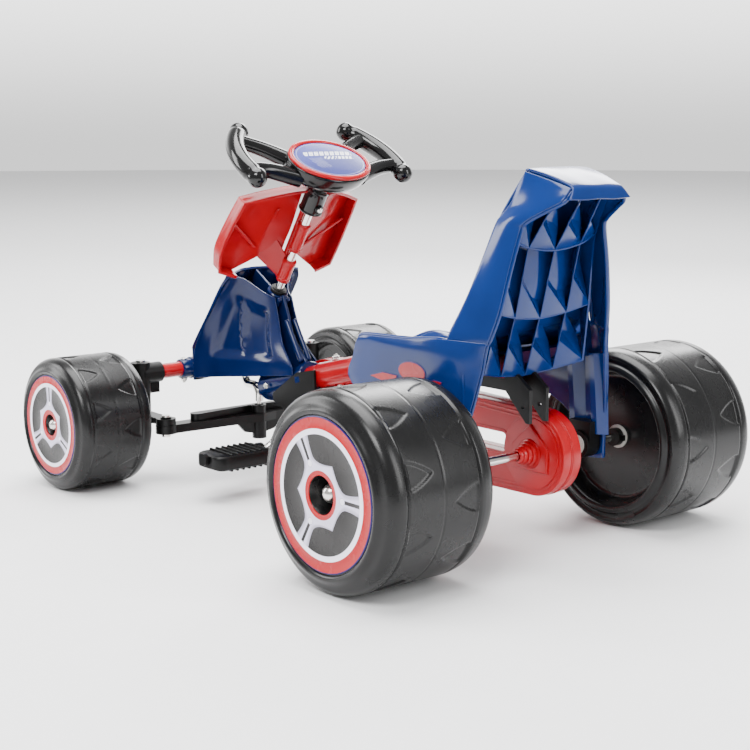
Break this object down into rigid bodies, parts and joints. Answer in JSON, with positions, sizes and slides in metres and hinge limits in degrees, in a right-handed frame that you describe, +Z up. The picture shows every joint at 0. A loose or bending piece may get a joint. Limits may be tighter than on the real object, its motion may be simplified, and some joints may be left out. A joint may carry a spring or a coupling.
{
  "type": "pedal go kart",
  "caption": "Child's four-wheeled pedal kart with a beam frame, bucket seat, raked steering column, linked front knuckles and a chain-driven rear axle.",
  "frame": {"origin": "on the ground, under the middle of the overall length and width", "axes": "+X forwards, +Y to the driver's left, +Z up"},
  "size_m": [0.946, 0.704, 0.5814],
  "materials": {
    "tube_red": "gloss red powder coat",
    "red_moulding": "gloss red moulded plastic",
    "cowl_blue": "gloss dark blue moulded plastic",
    "seat_blue": "gloss blue moulded plastic",
    "black_moulding": "fine-grained black moulded plastic",
    "wheel_black": "satin black blow-moulded plastic",
    "grip_black": "gloss black moulded plastic",
    "print_disc": "printed plastic disc",
    "badge_blue": "printed badge",
    "zinc_steel": "bright zinc plate",
    "bright_rod": "bright plated rod",
    "bush_nylon": "natural nylon"
  },
  "bodies": {
    "frame": {"rear_beam": "tube_red", "front_beam": "tube_red", "beam_bolts": "zinc_steel", "cross_tube": "tube_red", "front_cowl": "cowl_blue", "cowl_screws": "zinc_steel", "column_collar": "black_moulding", "column_foot_bush": "bush_nylon", "left_end_bracket": "black_moulding", "right_end_bracket": "black_moulding", "kingpins": "bright_rod", "rear_bracket": "black_moulding", "crank_bracket": "black_moulding", "crank_bush": "bush_nylon", "chain": "zinc_steel", "guard_inner": "red_moulding", "guard_outer": "red_moulding", "guard_screws": "zinc_steel", "left_bearing_block": "black_moulding", "right_bearing_block": "black_moulding", "block_bushes": "bush_nylon", "seat_shell": "seat_blue", "seat_bolts": "zinc_steel"},
    "steering": {"steering_column": "bright_rod", "steering_wheel": "grip_black", "wheel_trim_ring": "red_moulding", "wheel_badge": "badge_blue", "hub_screw": "zinc_steel", "steering_fairing": "red_moulding", "fairing_clips": "zinc_steel"},
    "left_steer": {"left_knuckle": "black_moulding", "left_stub_axle": "bright_rod", "left_arm_bolt": "zinc_steel", "front_left_nut": "zinc_steel"},
    "right_steer": {"right_knuckle": "black_moulding", "right_stub_axle": "bright_rod", "right_arm_bolt": "zinc_steel", "front_right_nut": "zinc_steel"},
    "tie": {"tie_plate": "black_moulding"},
    "front_left_roller": {"front_left_wheel": "wheel_black", "front_left_disc": "print_disc", "front_left_bushes": "bush_nylon"},
    "front_right_roller": {"front_right_wheel": "wheel_black", "front_right_disc": "print_disc", "front_right_bushes": "bush_nylon"},
    "crank": {"crank_rod": "bright_rod", "front_sprocket": "zinc_steel", "pedal_caps": "black_moulding"},
    "pedal_left": {"left_pedal": "black_moulding"},
    "pedal_right": {"right_pedal": "black_moulding"},
    "axle": {"rear_axle": "bright_rod", "rear_sprocket": "zinc_steel", "axle_nuts": "zinc_steel", "drive_key": "zinc_steel", "rear_right_wheel": "wheel_black", "rear_right_disc": "print_disc", "rear_right_bushes": "bush_nylon"},
    "rear_left_roller": {"rear_left_wheel": "wheel_black", "rear_left_disc": "print_disc", "rear_left_bushes": "bush_nylon"}
  },
  "joints": [
    {"name": "steering_turn", "type": "hinge", "parent": "frame", "child": "steering", "pos_m": [0.217, 0, 0.314], "axis": [-0.5432, 0, 0.8396], "range_deg": [-25, 25]},
    {"name": "left_knuckle_turn", "type": "hinge", "parent": "frame", "child": "left_steer", "pos_m": [0.367, 0.1765, 0.106], "axis": [0, 0, 1], "range_deg": [-21.7, 21.7]},
    {"name": "right_knuckle_turn", "type": "hinge", "parent": "frame", "child": "right_steer", "pos_m": [0.367, -0.1765, 0.106], "axis": [0, 0, 1], "range_deg": [-21.7, 21.7]},
    {"name": "tie_turn", "type": "hinge", "parent": "left_steer", "child": "tie", "pos_m": [0.291, 0.1765, 0.09], "axis": [0, 0, 1], "range_deg": [-21.7, 21.7]},
    {"name": "front_left_roll", "type": "hinge", "parent": "left_steer", "child": "front_left_roller", "pos_m": [0.367, 0.215, 0.106], "axis": [0, 1, 0], "continuous": true},
    {"name": "front_right_roll", "type": "hinge", "parent": "right_steer", "child": "front_right_roller", "pos_m": [0.367, -0.215, 0.106], "axis": [0, 1, 0], "continuous": true},
    {"name": "crank_spin", "type": "hinge", "parent": "frame", "child": "crank", "pos_m": [0.118, 0, 0.134], "axis": [0, 1, 0], "continuous": true},
    {"name": "left_pedal_spin", "type": "hinge", "parent": "crank", "child": "pedal_left", "pos_m": [0.14194, 0.14, 0.06822], "axis": [0, 1, 0], "continuous": true},
    {"name": "right_pedal_spin", "type": "hinge", "parent": "crank", "child": "pedal_right", "pos_m": [0.09406, -0.14, 0.19978], "axis": [0, 1, 0], "continuous": true},
    {"name": "axle_spin", "type": "hinge", "parent": "frame", "child": "axle", "pos_m": [-0.343, 0, 0.13], "axis": [0, 1, 0], "continuous": true},
    {"name": "rear_left_roll", "type": "hinge", "parent": "axle", "child": "rear_left_roller", "pos_m": [-0.343, 0.17, 0.13], "axis": [0, 1, 0], "continuous": true}
  ],
  "couplings": [
    {"joint": "left_knuckle_turn", "follows": "steering_turn", "ratio": 0.8643},
    {"joint": "right_knuckle_turn", "follows": "steering_turn", "ratio": 0.8643},
    {"joint": "tie_turn", "follows": "steering_turn", "ratio": -0.8643},
    {"joint": "axle_spin", "follows": "crank_spin", "ratio": 1.4}
  ]
}
